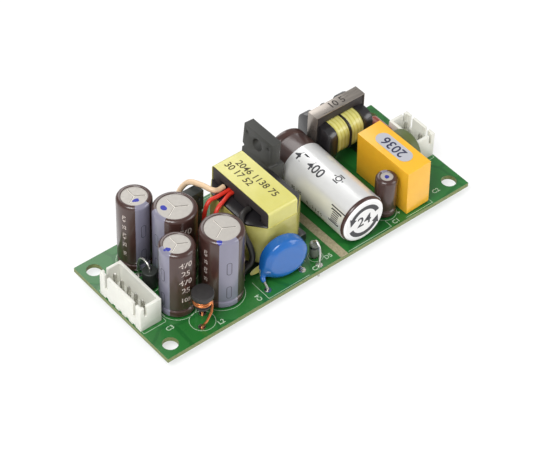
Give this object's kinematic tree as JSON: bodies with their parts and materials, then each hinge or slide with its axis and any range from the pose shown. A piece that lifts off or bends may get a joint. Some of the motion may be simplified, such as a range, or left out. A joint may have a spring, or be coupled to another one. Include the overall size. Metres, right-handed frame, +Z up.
{
  "type": "open frame power supply",
  "caption": "Narrow open frame power supply board with input and output headers, taped transformer, choke, upright and lying capacitors, and a bolt hole in each corner.",
  "frame": {"origin": "centre of the corner hole pattern, on the underside of the board", "axes": "+X towards the mains input header, -X towards the output header, +Y towards the edge with the choke, +Z up on the component side"},
  "size_m": [0.089, 0.0346, 0.0241],
  "materials": {
    "board": "green solder mask over glass fibre laminate",
    "solder": "shiny solder",
    "header_plastic": "white nylon",
    "tinned_metal": "tinned",
    "can_aluminium": "satin, slightly dull",
    "cap_sleeve": "dark brown shrink sleeve",
    "label_silver": "silver label",
    "seal_rubber": "black rubber",
    "ferrite": "dark grey ferrite",
    "bobbin_black": "black moulded resin",
    "copper": "enamelled copper wire",
    "yellow_tape": "thin yellow polyester tape",
    "lead_beige": "beige sleeving",
    "lead_red": "red insulation",
    "lead_black": "black insulation",
    "clip_steel": "bright spring steel",
    "package_black": "moulded epoxy",
    "film_yellow": "yellow moulded case",
    "sticker": "lilac grey",
    "disc_blue": "blue dipped coating",
    "fuse_brown": "red brown shrink sleeve",
    "disc_green": "olive green coating",
    "diode_glass": "grey green body"
  },
  "bodies": {
    "root": {"board": "board", "solder_joints": "solder", "output_header_housing": "header_plastic", "output_header_pins": "tinned_metal", "input_header_housing": "header_plastic", "input_header_pins": "tinned_metal", "output_cap_1_can": "can_aluminium", "output_cap_2_can": "can_aluminium", "output_cap_3_can": "can_aluminium", "output_cap_4_can": "can_aluminium", "output_cap_1_sleeve": "cap_sleeve", "output_cap_2_sleeve": "cap_sleeve", "output_cap_3_sleeve": "cap_sleeve", "output_cap_4_sleeve": "cap_sleeve", "storage_cap_can": "can_aluminium", "storage_cap_sleeve": "cap_sleeve", "storage_cap_label": "label_silver", "supply_cap_can": "can_aluminium", "supply_cap_sleeve": "cap_sleeve", "capacitor_seals": "seal_rubber", "capacitor_leads": "tinned_metal", "transformer_core_upper": "ferrite", "transformer_core_lower": "ferrite", "transformer_bobbin": "bobbin_black", "transformer_winding": "copper", "transformer_belly_tape": "yellow_tape", "transformer_core_tape": "yellow_tape", "transformer_pins": "tinned_metal", "flying_lead_beige": "lead_beige", "flying_lead_red_1": "lead_red", "flying_lead_red_2": "lead_red", "flying_lead_black": "lead_black", "choke_core": "ferrite", "choke_bobbin": "bobbin_black", "choke_windings": "yellow_tape", "choke_clip": "clip_steel", "choke_pins": "tinned_metal", "switch_body": "package_black", "switch_leads": "tinned_metal", "rectifier_body": "package_black", "rectifier_leads": "tinned_metal", "film_cap_box": "film_yellow", "film_cap_leads": "tinned_metal", "film_cap_sticker": "sticker", "disc_cap_coating": "disc_blue", "disc_cap_leads": "tinned_metal", "fuse_body": "fuse_brown", "fuse_leads": "tinned_metal", "inrush_disc": "disc_green", "inrush_leads": "tinned_metal", "drum_choke_core": "ferrite", "drum_choke_winding": "copper", "bead": "ferrite", "bead_wire": "tinned_metal", "diode_body": "diode_glass", "diode_leads": "tinned_metal", "bridge_rectifier": "package_black", "controller_chip": "package_black", "optocoupler": "package_black", "chip_parts": "package_black"}
  },
  "joints": []
}
